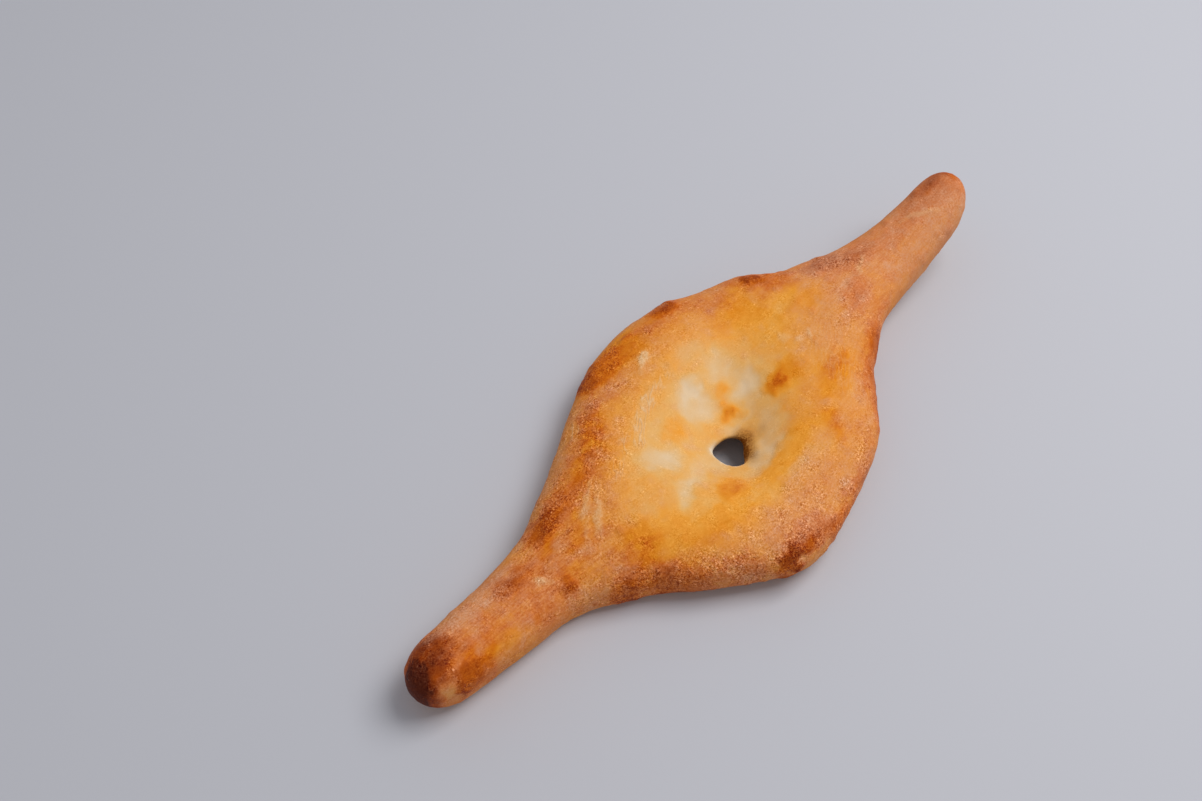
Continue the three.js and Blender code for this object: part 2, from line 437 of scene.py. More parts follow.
# %% Browned blisters
BROWNED_BLISTERS = (
    (-124, 5.5, 9, 4.6, 0, 0.20),
    (-105.5, -11, 3.6, 3, 0, 0.21),
    (-97, 15, 9, 6, 25, 0.25),
    (-86, 19, 10, 6, 30, 0.10),
    (-46, 37, 14, 6, 45, 0.08),
    (-30, 56, 6, 5, 60, 0.22),
    (-21, 57, 15, 8, 8, 0.13),
    (25.5, 60, 4, 4, 0, 0.24),
    (26, 62, 9, 7, 0, 0.14),
    (63, 46.5, 10, 5.5, -58, 0.13),
    (66, 43, 5, 3.4, -60, 0.26),
    (92, 3.5, 8, 5, 20, 0.09),
    (93.8, 25.3, 9, 6, 0, 0.38),
    (105, 17, 9, 6, 0, 0.15),
    (154, 15, 12, 5, 10, 0.07),
    (162, 17.5, 8, 4, 0, 0.08),
    (170, 15.5, 9, 5, 10, 0.045),
)
browning_and_shade = laid(BROWNED_BLISTERS)
print("browned blisters on", covered(browning_and_shade), "% of the skin")

# %% A browned south edge, with painted shade
# The ovals at (-24, -64) and (-13, -66) darken the lowest strip of the edge as painted shade; the
# others are browned crust.
SOUTH_EDGE_BROWN_AND_SHADE = (
    (-164.5, -10.5, 2, 1.6, 0, 0.16),
    (-158.5, -10.5, 9, 4, 0, 0.17),
    (-88, -25, 7, 4, -30, 0.22),
    (-77, -28, 11, 6, -35, 0.12),
    (-68, -39, 11, 6, -42, 0.17),
    (-50, -53, 16, 3.4, -34, 0.14),
    (-31, -63.5, 5.6, 3.2, -12, 0.50),
    (-24, -64, 6, 3.2, 5, 0.14),
    (-13, -66, 18, 3.2, 0, 0.21),
    (14, -61, 11, 3, 14, 0.12),
    (30, -54, 10, 3, 20, 0.07),
    (56, -40, 14, 3, 42, 0.07),
    (66, -25, 7, 4, 42, 0.10),
    (79, -19, 9, 5, 30, 0.19),
)
BROWN_PATCHES = ((6, 13, 0.28), (2.6, 15, 0.20))
BROWN_LEFT_UNDER_TIP = 0.3
patchy = 1 + uneven(BROWN_PATCHES)
browning_and_shade += laid(SOUTH_EDGE_BROWN_AND_SHADE)
browning_and_shade *= patchy * towards(1, BROWN_LEFT_UNDER_TIP, under_tip)
print("with the edge, on", covered(browning_and_shade), "%")

# %% Scorched tips
SCORCHED_TIPS = (
    (-176.5, -7.5, 5.5, 4, -45, 0.18),
    (-176.5, 1, 6.5, 6, 20, 0.30),
    (-166.5, 3.5, 13, 10, 25, 0.27),
    (173, 12, 15, 13, 0, 0.085),
)
TIP_PATCHINESS = 0.7
scorched = laid(SCORCHED_TIPS) * towards(1, patchy, TIP_PATCHINESS)
print("scorched tips on", covered(scorched), "% of the skin")

# %% [markdown]
# ## The whole bake
# The bake is one number at each point, from 0 for raw dough to 1 for char, and in a few places it
# also carries painted shade. It starts from the bake of the rim, the tails and the dish, and every
# mark adds its share. Where many marks meet, their sum would turn to char, so past a limit the
# browning slows down. Only the scorched tips are added after that.

# %% Add the bake up
DISH = (-6, 3, 62, 38, 18)
DISH_BAKE = 0.31
RIM_BAKE = 0.565
TAIL_BAKE = 0.63
TAIL_REACH = (75, 105)
BUBBLES = ((5.5, 44, 1.0),)
BUBBLE_LEVEL = 0.25
BUBBLES_IN_DISH = 0.3
BUBBLE_BAKE = 0.08
BAKE_PATCHES = ((22, 11, 0.04), (8, 12, 0.04), (3.6, 14, 0.03))
STREAK_BAKE = 0.04
SLOW_FROM = 0.66
SLOW_SPAN = 0.22
in_dish = oval(*DISH)
in_tails = rising(np.abs(east), *TAIL_REACH)
bubbles = tops(BUBBLES, BUBBLE_LEVEL) * towards(1, BUBBLES_IN_DISH, in_dish)
bake_and_shade = towards(towards(RIM_BAKE, TAIL_BAKE, in_tails), DISH_BAKE, in_dish)
bake_and_shade += gold_and_shade + toasted + browning_and_shade - hollows + BUBBLE_BAKE * bubbles
bake_and_shade += uneven(BAKE_PATCHES) + STREAK_BAKE * streaks * (1 - in_dish)
over = np.maximum(bake_and_shade - SLOW_FROM, 0)
bake_and_shade += SLOW_SPAN * (1 - np.exp(-over / SLOW_SPAN)) - over + scorched
print("bake runs from", round(float(bake_and_shade.min()), 2), "to", round(float(bake_and_shade.max()), 2))

# %% [markdown]
# ## Where flour dulls it
# The dough was handled on a floured board, and a film of flour stays on the rim and the tails. It
# turns the golden crust a pinkish tan and hides the shine. It is thin in the dish, where steam kept
# the skin moist, on the golden fields, and wherever the crust browned. The threads stretch it into
# streaks, and a second dusting lies in loose patches between the other marks. One noise would put
# the film in the wrong places, so ovals add and take away flour too.

# %% Where flour stayed
FLOURED_CRUST = (
    (-145, 10, 24, 5, 0, 0.30),
    (-131, 4.5, 18, 2.6, -13, 0.10),
    (-126, -6, 8, 5, 0, 0.10),
    (-110, -6, 9, 4.5, 0, 0.22),
    (-94, -5, 11, 2.2, -15, 0.20),
    (-72, -33, 10, 6, -35, 0.04),
    (-55, -49, 14, 4, -38, 0.12),
    (-42, 27, 10, 7, 35, 0.10),
    (-40, 44, 8, 5, 40, 0.12),
    (-18, 36, 12, 4, 15, 0.05),
    (-8, -54, 45, 9, 4, 0.12),
    (-2, -42, 14, 4, 2, 0.15),
    (15, 36, 10, 6, 20, 0.12),
    (18, -37, 12, 4, 12, 0.12),
    (30, 44, 10, 7, 0, 0.10),
    (42, 24, 6, 5, 0, 0.10),
    (55, 53, 12, 6, -20, 0.08),
    (70, 0, 22, 14, 20, 0.06),
    (92, 4, 10, 7, 20, 0.12),
    (93, 26, 14, 8, 0, 0.40),
    (105, 17, 12, 8, 0, 0.10),
    (130, 12, 40, 10, 0, 0.12),
    (140, -3, 36, 6, 0, 0.25),
    (167, 5, 12, 7, 0, 0.20),
)
floured = laid(FLOURED_CRUST)
print("more flour on", covered(floured), "% of the skin")

# %% Where the crust is clean
CLEAN_CRUST = (
    (-150, -6, 9, 5, 0, 0.12),
    (-144, 0, 7, 4, 0, 0.12),
    (-138, -8, 28, 6, 0, 0.20),
    (-126, 6, 6, 4, 0, 0.10),
    (-100, -2, 22, 12, 10, 0.22),
    (-95, 6.5, 7, 5, 20, 0.09),
    (-73, -16, 9, 9, 0, 0.24),
    (-68, 20, 34, 10, 25, 0.21),
    (-66, 23, 9, 4, 30, 0.08),
    (-50, -29, 26, 12, -25, 0.28),
    (-46, 38, 14, 7, 45, 0.15),
    (-19, 58, 24, 11, 5, 0.40),
    (4, -33, 34, 6, 8, 0.26),
    (5, 56, 36, 9, 0, 0.12),
    (18, 60, 6, 5, 0, 0.22),
    (26, -44, 20, 6, 14, 0.16),
    (28, -36, 9, 5, 35, 0.28),
    (34, -3, 12, 8, 0, 0.18),
    (42, 42, 17, 12, 20, 0.08),
    (50, -20, 16, 9, 20, 0.28),
    (50, 26, 18, 13, 80, 0.22),
    (60, -32, 14, 5, 42, 0.10),
    (70, 20, 10, 9, 0, 0.17),
    (72, 36, 12, 7, -30, 0.14),
    (84, 0, 7, 6, 0, 0.10),
    (112, -5, 14, 5, 0, 0.10),
    (114, 13, 8, 5, 0, 0.08),
    (134, 0, 10, 5, 0, 0.10),
    (175, 12, 5, 6, 0, 0.25),
)
cleaned = laid(CLEAN_CRUST)
print("less flour on", covered(cleaned), "% of the skin")

# %% Spread the flour
FLOUR_FILM = 0.32
FILM_PATCHES = ((9, 21, 0.08), (3, 22, 0.07))
FILM_STREAKS = 0.10
BROWNED_LOSS = 1.2
SCORCHED_LOSS = 1.5
DUST = ((4.5, 27, 1.0), (10, 28, 0.6))
DUST_LEVEL = 0.12
DUST_AMOUNT = 0.36
DUST_SHUNS_MARKS = 4
NORTH_RIM = (-5, 55, 60, 14, 5)
NORTH_RIM_DUST = 0.3
NORTH_RIM_FILM = 0.04
flour = (FLOUR_FILM + uneven(FILM_PATCHES) + FILM_STREAKS * streaks) * (1 - in_dish)
flour += floured - cleaned - BROWNED_LOSS * browning_and_shade - SCORCHED_LOSS * scorched
unmarked = np.clip(1 - DUST_SHUNS_MARKS * (hollows + browning_and_shade + toasted + scorched), 0, 1)
north_rim = oval(*NORTH_RIM)
dusted = tops(DUST, DUST_LEVEL) * unmarked * towards(1, NORTH_RIM_DUST, north_rim)
flour += DUST_AMOUNT * dusted + NORTH_RIM_FILM * north_rim
flour = np.clip(flour, 0, 1)
print("flour hides", round(100 * float(flour.mean())), "% of the crust's colour")

# %% [markdown]
# ## Folds and creases
# As the body puffed up, its skin stretched and then fell back into pale folds, with fine creases
# beside them. A fold is wide enough for the skin's points to raise, so each one is a thin oval. A
# crease is narrower than the grid, so here we only say where creases run, and the material draws
# them.

# %% Pale folds where the skin stretched
STRETCH_MARKS = (
    (-168, -9, 3.4, 1.5, -40, 0.26),
    (-113, -2.5, 4, 1.8, -20, 0.60),
    (-101, 1, 12, 3, 20, 0.15),
    (-92, 6, 9, 3, 35, 0.15),
    (-84, 0, 9, 1.3, 40, 0.25),
    (-75.5, 2.6, 8, 1.5, 50, 0.58),
    (-75, 9.8, 8, 1.4, 38, 0.48),
    (-34, 18.5, 7, 1.7, 38, 0.35),
    (-27, 25, 8, 1.5, 35, 0.25),
    (-18, 29, 7, 1.5, 25, 0.40),
    (-10, 43, 5, 1.2, 40, 0.3),
    (-5.5, 45.5, 3.2, 1.8, 40, 0.9),
    (48, 9.5, 3, 2.4, 0, 0.4),
    (51.5, 3.5, 2.6, 1.3, 0, 0.4),
    (58.5, 1.5, 3, 1.3, 60, 0.6),
    (104, 10, 7, 1.4, 25, 0.4),
    (142, 9, 9, 1.2, -35, 0.3),
    (148, 6, 9, 1.2, -40, 0.3),
)
stretched = np.clip(laid(STRETCH_MARKS), 0, 1) * (1 - under_tip)
print("folds on", covered(stretched), "% of the skin")

# %% Fine creases
CREASED_SKIN = (
    (-56, 11, 7, 3.5, 40, 0.5),
    (-51, 42, 5, 2.5, 35, 0.7),
    (-43, 19, 6, 3.0, 42, 0.7),
    (-34, 19, 9, 3.2, 38, 1.0),
    (-22, 27, 9, 2.8, 30, 0.8),
    (-8, 31, 9, 2.2, 12, 0.6),
    (-5, 45.5, 5, 3.0, 40, 0.5),
    (54, -28, 14, 8, 40, 0.22),
    (60, -8, 16, 9, 40, 0.22),
)
creased = np.clip(laid(CREASED_SKIN), 0, 1)
print("creases on", covered(creased), "% of the skin")

# %% [markdown]
# ## The flanks and the side that lay on the oven wall
# The flanks are steep, and a mark laid in plan runs down them as a smear. So on the back flank the
# marks fade into an even tan. Low down, the flanks of the tails and the north side are paler, where
# the wall kept the fire's heat off. The body's low south side is darker brown, which is painted
# shade. Its flanks higher up in the east are browner, partly from the fire and partly as painted
# shade. Nobody sees the underside on the table, but a loaf is picked up. It baked against hot clay:
# drier, floury and freckled with toasted dots, palest in the hollow that lifted off the wall.

# %% Find the flanks and the underside
DOWN_FACING = (-0.35, -0.75)
STEEP_FACING = (0.8, 0.3)
LOW_HEIGHT = (9, 3)
BACK_DIRECTION = np.array((0.71, 0.71))
BACK_FACING = (0.25, 0.55)
BACK_STEEP = (0.46, 0.11)
facing_down = rising(upward, *DOWN_FACING)
steep = rising(upward, *STEEP_FACING) * (1 - facing_down)
low_flank = rising(height, *LOW_HEIGHT) * steep
faces_back = rising(outward[:, :2] @ BACK_DIRECTION, *BACK_FACING)
back_flank = rising(upward, *BACK_STEEP) * faces_back * (1 - facing_down)
print("flanks on", covered(steep), "% of the skin and the underside on", covered(facing_down), "%")

# %% Tone the flanks
BACK_BAKE = 0.58
BACK_BAKE_PATCHES = ((10, 51, 0.09), (4, 53, 0.05))
BACK_FLOUR = 0.42
BACK_FLOUR_PATCHES = ((8, 52, 0.20),)
BACK_FADE = 0.75
LOW_NORTH_BAKE = -0.22
LOW_SOUTH_SHADE = 0.32
LOW_TAIL_BAKE = -0.16
EAST_BODY = (-10, 20)
EAST_FLANK_BROWN_AND_SHADE = 0.10
on_body = 1 - in_tails
bake_and_shade = towards(bake_and_shade, BACK_BAKE + uneven(BACK_BAKE_PATCHES), BACK_FADE * back_flank)
flour = towards(flour, BACK_FLOUR + uneven(BACK_FLOUR_PATCHES), BACK_FADE * back_flank)
# Low on the body's south side the bake is raised as painted shade; low on the tails it is lowered as
# paler crust.
low_south = LOW_SOUTH_SHADE * on_body + LOW_TAIL_BAKE * in_tails
bake_and_shade += low_flank * np.where(outward[:, 1] > 0, LOW_NORTH_BAKE, low_south)
# Higher up on the east flanks the extra bake is partly browning and partly painted shade.
bake_and_shade += EAST_FLANK_BROWN_AND_SHADE * steep * (1 - low_flank) * on_body * rising(east, *EAST_BODY)
print("back flank fades on", covered(back_flank), "% of the skin")

# %% Toast the underside
LIFTED_HEIGHT = (0, 8)
UNDER_BAKE = 0.50
LIFTED_PALER = 0.12
FRECKLES = ((6, 31, 1.0), (2.5, 32, 0.5))
FRECKLE_LEVEL = 0.15
FRECKLE_BAKE = 0.40
FRECKLES_WHERE_LIFTED = 0.4
UNDER_PATCHES = ((25, 33, 0.08),)
UNDER_FLOUR = 0.45
UNDER_FLOUR_PATCHES = ((13, 34, 0.25),)
lifted = rising(height, *LIFTED_HEIGHT)
freckles = tops(FRECKLES, FRECKLE_LEVEL) * towards(1, FRECKLES_WHERE_LIFTED, lifted)
under_bake = UNDER_BAKE - LIFTED_PALER * lifted + FRECKLE_BAKE * freckles + uneven(UNDER_PATCHES)
under_flour = np.clip(UNDER_FLOUR + uneven(UNDER_FLOUR_PATCHES), 0, 1)
bake_and_shade = towards(bake_and_shade, under_bake, facing_down)
flour = towards(flour, under_flour, facing_down)
stretched *= 1 - facing_down
creased *= 1 - facing_down
print("freckles on", covered(freckles * facing_down), "% of the skin")

# %% [markdown]
# ## The vent's shaded wall
# The baker poked the vent through the thin middle. Its wall is torn dough. Where the wall faces away
# from the light it is painted dark brown as shade, with a painted shadow as a fringe beside it; on
# the other side the lip is thin and pale, and a line of crumb shows. All of that depends on how far
# a point is from the wall, and on which side of the vent it lies. The wall has no simple shape, so
# a KD tree of the wall's own points gives the distance.

# %% Measure from the wall
WALL_WITHIN = 14
WALL_UPRIGHT = 0.55
MEASURED_WITHIN = 24
FAR_AWAY = 99.0
from_vent = points[:, :2] - np.array(VENT) / MM
vent_reach = np.hypot(from_vent[:, 0], from_vent[:, 1])
on_wall = (vent_reach < WALL_WITHIN) & (np.abs(upward) < WALL_UPRIGHT)
wall_tree = kdtree.KDTree(int(on_wall.sum()))
for index, point in enumerate(points[on_wall]):
    wall_tree.insert(point, index)
wall_tree.balance()
from_wall = np.full(len(points), FAR_AWAY)
for index in np.nonzero(vent_reach < MEASURED_WITHIN)[0]:
    from_wall[index] = wall_tree.find(points[index])[2]
print("vent's wall has", int(on_wall.sum()), "points")

# %% Paint shade on the wall and pale the lip
# Where the wall faces away from the light it is painted dark brown as shade, and the fringe beside it
# is painted shadow.
WALL_SHADIEST = math.radians(-32)
WALL_SIDE = (0.32, 0.84)
WALL_REACH = (6.3, 0.8)
LEAST_WALL_SHADE = 0.05
SHADE_FRINGE = ((6.5, -12, 4, 5, 0, 0.20),)
LIP_SIDE = (-0.1, -1.1)
LIP_REACH = (3, 0)
LIP_BAKE = 0.05
CRUMB_TURN = 0.6
CRUMB_SIDE = (-0.13, -0.8)
CRUMB_REACH = (1.4, 0)
wall_turn = np.arctan2(from_vent[:, 1], from_vent[:, 0]) - WALL_SHADIEST
shaded = np.maximum(rising(np.cos(wall_turn), *WALL_SIDE), LEAST_WALL_SHADE) * rising(from_wall, *WALL_REACH)
shaded += laid(SHADE_FRINGE)
lip = rising(np.cos(wall_turn), *LIP_SIDE) * rising(from_wall, *LIP_REACH)
crumb = rising(np.cos(wall_turn - CRUMB_TURN), *CRUMB_SIDE) * rising(from_wall, *CRUMB_REACH)
bake_and_shade = towards(bake_and_shade, LIP_BAKE, lip)
flour *= (1 - shaded) * (1 - lip)
print("torn wall and fringe on", covered(shaded), "% of the skin")

# %% [markdown]
# ## Relief
# The same ovals that colour the crust also shape it: hollows sink, and toasted spots and browned
# blisters rise, because that is why they browned. Small bubbles lift the rim, slow noise adds the
# lumps of a hand-stretched dough, and the stretched folds stand up a little. A Displace modifier
# could do this with textures, but it couldn't read the marks, so the points are moved along their
# normals here. The vent's edge stays where it is, and nothing goes below the table.

# %% Raise and sink the skin
TOASTED_RISE = 2.2
BROWNED_RISE = 2.4
HOLLOW_SINK = 2.4
BUBBLE_RISE = 0.9
FOLD_RISE = 0.45
STREAK_RISE = 0.10
HAND_LUMPS = ((26, 41, 0.40), (12, 42, 0.28), (5, 43, 0.12), (2.4, 45, 0.06))
UNDERSIDE_RELIEF = 0.2
VENT_CLEAR = (8, 14)
rise = TOASTED_RISE * toasted + BROWNED_RISE * browning_and_shade - HOLLOW_SINK * hollows
rise += BUBBLE_RISE * bubbles + FOLD_RISE * stretched + STREAK_RISE * streaks * (1 - in_dish)
rise += uneven(HAND_LUMPS)
rise *= towards(1, UNDERSIDE_RELIEF, facing_down) * rising(vent_reach, *VENT_CLEAR)
moved = points + outward * rise[:, None]
moved[:, 2] = np.maximum(moved[:, 2], 0)
loaf_mesh.vertices.foreach_set("co", (moved * MM).ravel())
loaf_mesh.update()
print("relief runs from", round(float(rise.min()), 2), "to", round(float(rise.max()), 2), "mm")

# %% [markdown]
# ## What the material needs to know
# The material reads the layout from the skin's own attributes. A few more are worked out here: how
# crisp each point is, which sets how strong its grains are, how bright its painted glints are, how
# much of the drawn-out threads shows, and the place along them that the material's noise reads.
# Crisp crust is browned or floury crust, and comes in patches. The dish stayed moist and smooth, and
# the tails and the east side are smoother than the west.

# %% Crispness
RIM_CRISP = 0.50
DISH_CRISP = 0.18
HOLLOW_SOFTER = 0.6
BROWN_CRISP = 0.96
BROWN_CRISP_BAKE = (0.58, 0.88)
FLOUR_CRISP = 0.7
BLISTER_CRISP = 1.8
SOUTH_RIM = (-8, -52, 52, 13, 4)
CRISP_FIELDS = ((50, 26, 18, 13, 80, 0.30), (*SOUTH_RIM, 0.15))
TAIL_ENDS = (95, 120)
TAIL_SMOOTHER = 0.55
WEST_TO_EAST = (-36, 60)
WEST_CRISP = 1.25
EAST_CRISP = 0.58
SMOOTH_NECK = (-98, 0, 24, 15, 0)
NECK_SMOOTHER = 0.3
CRISP_PATCHES = ((7, 46, 1.2), (3, 47, 1.0))
CRISP_OVERALL = 0.9
LEAST_CRISP = 0.10
MOST_CRISP = 1.8
crisp = towards(RIM_CRISP, DISH_CRISP, in_dish) - HOLLOW_SOFTER * hollows
crisp += BROWN_CRISP * rising(bake_and_shade, *BROWN_CRISP_BAKE) + FLOUR_CRISP * flour + BLISTER_CRISP * browning_and_shade
crisp += laid(CRISP_FIELDS)
crisp *= 1 - TAIL_SMOOTHER * in_tails * rising(np.abs(east), *TAIL_ENDS)
crisp *= towards(WEST_CRISP, EAST_CRISP, rising(east, *WEST_TO_EAST))
crisp *= 1 - NECK_SMOOTHER * oval(*SMOOTH_NECK)
crisp *= CRISP_OVERALL * np.exp(uneven(CRISP_PATCHES))
crisp = np.clip(crisp, LEAST_CRISP, MOST_CRISP)
print("half of the skin is crisper than", round(float(np.median(crisp)), 2))

# %% Painted glints and threads
LEAST_GLINT = 0.05
CRISP_GLINT = 0.75
SOUTH_RIM_GLINT = 0.3
BODY_THREADS = 0.45
TAIL_THREADS = 0.70
THREAD_PATCHES = ((15, 26, 0.8),)
NECK_THREADS = ((-92, 3, 24, 14, 15, 0.5),)
BROWNED_HIDES = 2
SCORCHED_HIDES = 4
THREADS_IN_DISH = 0.2
THREAD_LENGTH = 6
THREAD_FINENESS = 8
# The glint strength sets how bright the painted glints are.
glint_strength = LEAST_GLINT + CRISP_GLINT * crisp * towards(1, SOUTH_RIM_GLINT, oval(*SOUTH_RIM))
drawn_out = towards(BODY_THREADS, TAIL_THREADS, in_tails) * (1 + uneven(THREAD_PATCHES))
drawn_out += laid(NECK_THREADS) - BROWNED_HIDES * browning_and_shade - SCORCHED_HIDES * scorched
drawn_out = np.clip(drawn_out, 0, 1) * towards(1, THREADS_IN_DISH, in_dish)
drawn_out *= (1 - facing_down) * (1 - FAR_TAIL_SMOOTHER * far_tail)
threads = along_threads(THREAD_LENGTH, THREAD_FINENESS)
print("threads show on", covered(drawn_out), "% of the skin")

# %% Keep the layout on the skin
layout = {
    "bake_and_shade": np.clip(bake_and_shade, 0, 1),
    "flour": np.clip(flour, 0, 1),
    "stretch": stretched,
    "creased": creased,
    "shaded": shaded,
    "crumb": crumb,
    "crisp": crisp,
    "glint_strength": glint_strength,
    "drawn": drawn_out,
}
for name, values in layout.items():
    layer = loaf_mesh.attributes.new(name, "FLOAT", "POINT")
    layer.data.foreach_set("value", values.astype(np.float32))
    print(name, "is", round(float(values.mean()), 2), "on average")
layer = loaf_mesh.attributes.new("threads", "FLOAT_VECTOR", "POINT")
layer.data.foreach_set("vector", threads.astype(np.float32).ravel())

# %% [markdown]
# ## The crust's material
# A ramp from dough to char turns the bake into colour, and noise shifts the bake first, so that
# browned patches break up as real ones do. Flour lies over it in grains rather than as an even
# film, so that golden crust shows between them. The threads, the folds and the vent's painted shade
# come next. Nodes made one by one by hand would fill pages, so a few short helpers add and link them.

# %% Start the material
crust = bpy.data.materials.new("shoti_crust")
crust.use_nodes = True
tree = crust.node_tree
shader = tree.nodes["Principled BSDF"]
loaf_mesh.materials.append(crust)
print("material", crust.name, "starts with", len(tree.nodes), "nodes")


def node(kind, settings=None, **inputs):
    """Adds a node, sets its options, and sets or links its inputs by name or, as _0, by number."""
    made = tree.nodes.new(kind)
    for name, value in (settings or {}).items():
        setattr(made, name, value)
    for name, value in inputs.items():
        socket = made.inputs[int(name[1:])] if name[0] == "_" else made.inputs[name.replace("_", " ")]
        if isinstance(value, bpy.types.NodeSocket):
            tree.links.new(value, socket)
        else:
            socket.default_value = value
    return made


def maths(operation, first, second=0.0, third=0.0):
    """The result of one sum on up to three sockets or numbers."""
    return node("ShaderNodeMath", {"operation": operation}, _0=first, _1=second, _2=third).outputs[0]


def weighed(*patterns, start=0.0):
    """Patterns added to a start, each given with its own weight."""
    total = start
    for pattern, weight in patterns:
        total = maths("MULTIPLY_ADD", pattern, weight, total)
    return total


def held(value, low, high):
    """A value kept between two limits."""
    return node("ShaderNodeClamp", Value=value, Min=low, Max=high).outputs[0]


def attribute(name, output="Fac"):
    """The skin's own value of that name."""
    return node("ShaderNodeAttribute", {"attribute_name": name}).outputs[output]


# %% [markdown]
# ## Patterns as fine as the skin's grid
# Grains of flour and meal are about as fine as the skin's grid, so its points can't carry them.
# Noise in the material draws them in three sizes, and a fourth makes a coarser mottle, all on Object
# coordinates, which are the loaf's own metres. A Voronoi pattern gives each of its cells one bright
# speck, a painted glint, and a high power of the cell's own chance leaves only a few of them. The
# creases are the lines where a slanted, drawn-out noise crosses its middle value.

# %% Grains, mottles and threads
FINE_SIZE = 0.55 * MM
MEAL_SIZE = 0.9 * MM
MIDDLING_SIZE = 1.5 * MM
COARSE_SIZE = 3.4 * MM
NOISE_ROUGHNESS = 0.6
NOISE_MIDDLE = 0.5


def speckle(where, size, detail):
    """Noise centred on zero, with specks about that size."""
    made = node("ShaderNodeTexNoise", Vector=where, Scale=1 / size, Detail=detail)
    made.inputs["Roughness"].default_value = NOISE_ROUGHNESS
    return maths("SUBTRACT", made.outputs[0], NOISE_MIDDLE)


place = node("ShaderNodeTexCoord").outputs["Object"]
crispness = attribute("crisp")
floury = attribute("flour")
fine = speckle(place, FINE_SIZE, 1)
meal = speckle(place, MEAL_SIZE, 1)
middling = speckle(place, MIDDLING_SIZE, 2)
coarse = speckle(place, COARSE_SIZE, 2)
lines = maths("MULTIPLY", speckle(attribute("threads", "Vector"), 1.0, 2), attribute("drawn"))
print("grains and threads take the tree to", len(tree.nodes), "nodes")

# %% Creases and painted glints
CREASE_TURN = math.radians(42)
CREASE_SIZE = (6.5 * MM, 1.6 * MM, 6.5 * MM)
CREASE_THINNESS = 8.0
GLINT_SPACING = 1.7 * MM
GLINT_CORE = 2.0
GLINT_EDGE = 6.0
GLINT_RARITY = 5.0
as_texture = {"vector_type": "TEXTURE"}
slant = node(
    "ShaderNodeMapping", as_texture, Vector=place, Rotation=(0, 0, CREASE_TURN), Scale=CREASE_SIZE
)
crossed = maths("ABSOLUTE", speckle(slant.outputs[0], 1.0, 0))
creases = held(weighed((crossed, -CREASE_THINNESS), start=1.0), 0.0, 1.0)
creases = maths("MULTIPLY", creases, attribute("creased"))
# Painted glints: one bright speck in a few of the Voronoi cells.
cells = node("ShaderNodeTexVoronoi", Vector=place, Scale=1 / GLINT_SPACING)
chance = node("ShaderNodeSeparateColor", Color=cells.outputs["Color"]).outputs[0]
glint_specks = held(weighed((cells.outputs["Distance"], -GLINT_EDGE), start=GLINT_CORE), 0.0, 1.0)
glint_specks = maths("MULTIPLY", glint_specks, maths("POWER", chance, GLINT_RARITY))
print("creases and crystals take it to", len(tree.nodes), "nodes")

# %% Bake colours
BAKE_COLOURS = (
    (0.00, (233, 204, 165)),
    (0.15, (233, 193, 139)),
    (0.30, (238, 180, 101)),
    (0.45, (243, 162, 57)),
    (0.58, (233, 141, 30)),
    (0.70, (212, 106, 12)),
    (0.82, (172, 75, 10)),
    (0.92, (135, 54, 13)),
    (1.00, (90, 33, 12)),
)
COARSE_SHIFT = 0.05
CRISP_COARSE_SHIFT = 0.11
MIDDLING_SHIFT = -0.10
THREAD_SHIFT = -0.16


def light(colour):
    """A colour given as it looks, from 0 to 255, as the linear light that a shader works with."""
    shares = [level / 255 for level in colour]
    return [((share + 0.055) / 1.055) ** 2.4 for share in shares] + [1.0]


breaking_up = weighed((crispness, CRISP_COARSE_SHIFT), start=COARSE_SHIFT)
crisp_middling = maths("MULTIPLY", middling, crispness)
browning = weighed(
    (coarse, breaking_up),
    (crisp_middling, MIDDLING_SHIFT),
    (lines, THREAD_SHIFT),
    start=attribute("bake_and_shade"),
)
ramp = node("ShaderNodeValToRGB", Fac=browning)
steps = ramp.color_ramp.elements
while len(steps) < len(BAKE_COLOURS):
    steps.new(1.0)
for step, (position, colour) in zip(steps, BAKE_COLOURS):
    step.position = position
    step.color = light(colour)
print("the ramp has", len(steps), "colours from dough to char")

# %% Flour, folds and the wall's painted shade
FLOUR_COLOUR = (221, 162, 124)
FLOUR_GRAIN = 1.4
LEAST_GRAIN = 0.4
MOST_GRAIN = 1.6
MOST_FLOUR = 0.9
FOLD_COLOUR = (238, 194, 142)
FOLD_AMOUNT = 0.8
CREASE_AMOUNT = 0.7
MOST_FOLD = 0.8
WALL_SHADE_COLOUR = (114, 60, 6)
WALL_GRAIN = 1.5
CRUMB_COLOUR = (247, 233, 208)


def layer_over(under, colour, amount):
    """Mixes a plain colour over what is under it, on the colour sockets of a Mix node."""
    made = node("ShaderNodeMix", {"data_type": "RGBA"}, Factor=amount, _6=under, _7=light(colour))
    return made.outputs[2]


grainy = held(weighed((meal, FLOUR_GRAIN), start=1.0), LEAST_GRAIN, MOST_GRAIN)
dusting = held(maths("MULTIPLY", floury, maths("ADD", lines, grainy)), 0.0, MOST_FLOUR)
skin_colour = layer_over(ramp.outputs["Color"], FLOUR_COLOUR, dusting)
folding = maths("MULTIPLY", attribute("stretch"), maths("ADD", meal, FOLD_AMOUNT))
folding = held(weighed((creases, CREASE_AMOUNT), start=folding), 0.0, MOST_FOLD)
skin_colour = layer_over(skin_colour, FOLD_COLOUR, folding)
# Painted shade: the vent's wall is mixed towards a dark warm brown.
wall = maths("MULTIPLY", attribute("shaded"), weighed((meal, WALL_GRAIN), start=1.0))
skin_colour = layer_over(skin_colour, WALL_SHADE_COLOUR, held(wall, 0.0, 1.0))
skin_colour = layer_over(skin_colour, CRUMB_COLOUR, attribute("crumb"))
print("the layers take it to", len(tree.nodes), "nodes")
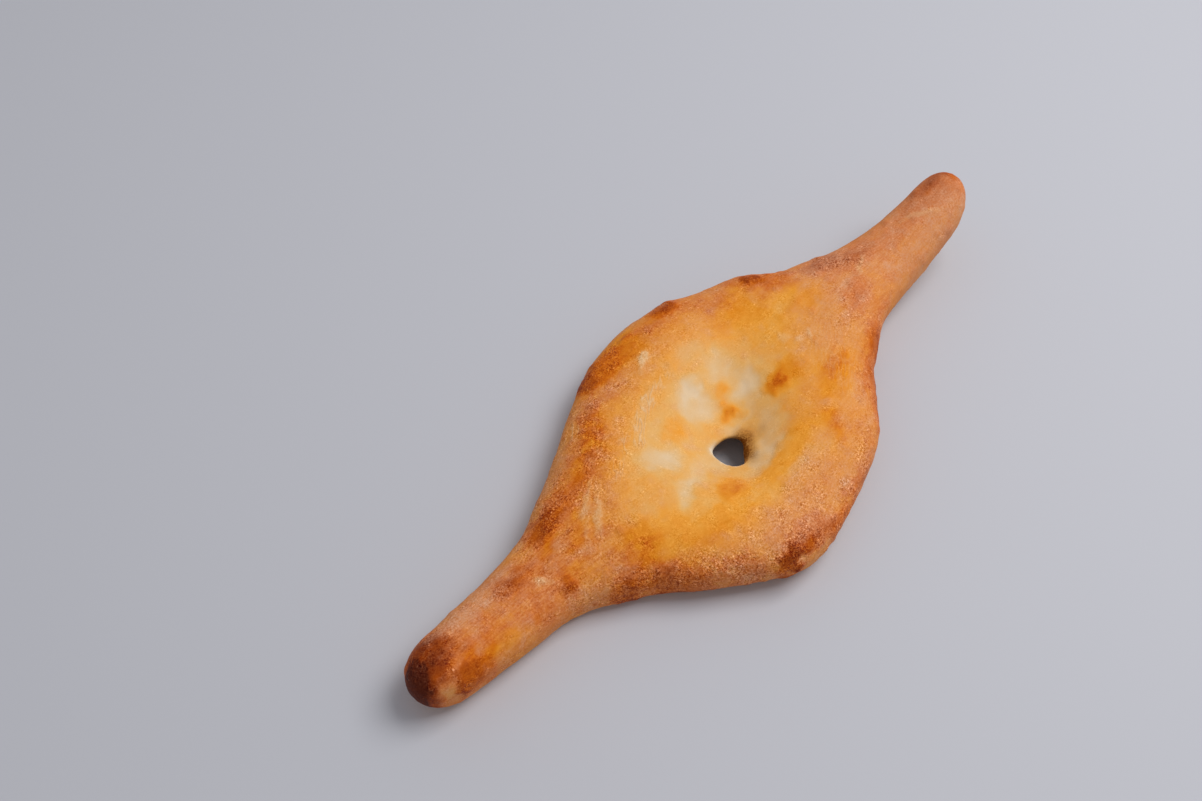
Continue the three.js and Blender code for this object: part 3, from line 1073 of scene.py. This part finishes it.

# %% [markdown]
# ## Single grains
# Lighter and darker grains come last, with the painted glints among them. A grain that is added to
# linear light looks strong on brown and weak on cream. So they are added on the eye's scale, between
# two gamma nodes, and then light and dark grains look equally strong everywhere.

# %% Add the grains
GRAIN_CONTRAST = 0.38
MEAL_CONTRAST = 0.22
MOTTLE_CONTRAST = 0.12
THREAD_CONTRAST = 0.10
GLINT_LIGHT = 0.24
EYE_GAMMA = 2.2
grains = weighed((fine, GRAIN_CONTRAST), (meal, MEAL_CONTRAST), (middling, MOTTLE_CONTRAST))
grains = maths("MULTIPLY", grains, crispness)
# Painted glints: bright specks added to the colour.
painted_glints = maths("MULTIPLY", glint_specks, attribute("glint_strength"))
grains = weighed((painted_glints, GLINT_LIGHT), (lines, THREAD_CONTRAST), start=grains)
to_the_eye = node("ShaderNodeGamma", Color=skin_colour, Gamma=1 / EYE_GAMMA).outputs[0]
to_the_eye = node("ShaderNodeVectorMath", {"operation": "ADD"}, _0=to_the_eye, _1=grains).outputs[0]
grained = node("ShaderNodeGamma", Color=to_the_eye, Gamma=EYE_GAMMA).outputs[0]
tree.links.new(grained, shader.inputs["Base Color"])
print("the grains take it to", len(tree.nodes), "nodes")

# %% [markdown]
# ## Bump and gloss
# The grains that show as colour also catch the light, so the same patterns make the bump, stronger
# where the crust is crisp. Bread is dry: flour makes it drier still, and only a trace of gloss is
# left, which stays the same all over and so is set on the shader itself.

# %% Bump, roughness and gloss
COARSE_BUMP = 0.8
MIDDLING_BUMP = 0.7
MEAL_BUMP = 0.5
FINE_BUMP = 0.2
GLINT_BUMP = 0.3
THREAD_BUMP = 0.3
CREASE_BUMP = 0.6
BUMP_STRENGTH = 0.8
BUMP_DEPTH = 0.4 * MM
BARE_ROUGHNESS = 0.52
FLOUR_ROUGHNESS = 0.25
MOTTLE_ROUGHNESS = 0.3
GLOSS = 0.08
grain_bump = weighed(
    (coarse, COARSE_BUMP),
    (middling, MIDDLING_BUMP),
    (meal, MEAL_BUMP),
    (fine, FINE_BUMP),
    (glint_specks, GLINT_BUMP),
)
crisp_bump = maths("MULTIPLY", grain_bump, crispness)
bump_height = weighed((lines, THREAD_BUMP), (creases, CREASE_BUMP), start=crisp_bump)
bump = node("ShaderNodeBump", Height=bump_height, Strength=BUMP_STRENGTH, Distance=BUMP_DEPTH)
tree.links.new(bump.outputs[0], shader.inputs["Normal"])
dryness = weighed((floury, FLOUR_ROUGHNESS), (middling, MOTTLE_ROUGHNESS), start=BARE_ROUGHNESS)
tree.links.new(dryness, shader.inputs["Roughness"])
shader.inputs["Specular IOR Level"].default_value = GLOSS
print("crust material has", len(tree.nodes), "nodes")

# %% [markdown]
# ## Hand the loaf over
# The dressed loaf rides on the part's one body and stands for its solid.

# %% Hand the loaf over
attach(loaf, "root")
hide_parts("loaf")
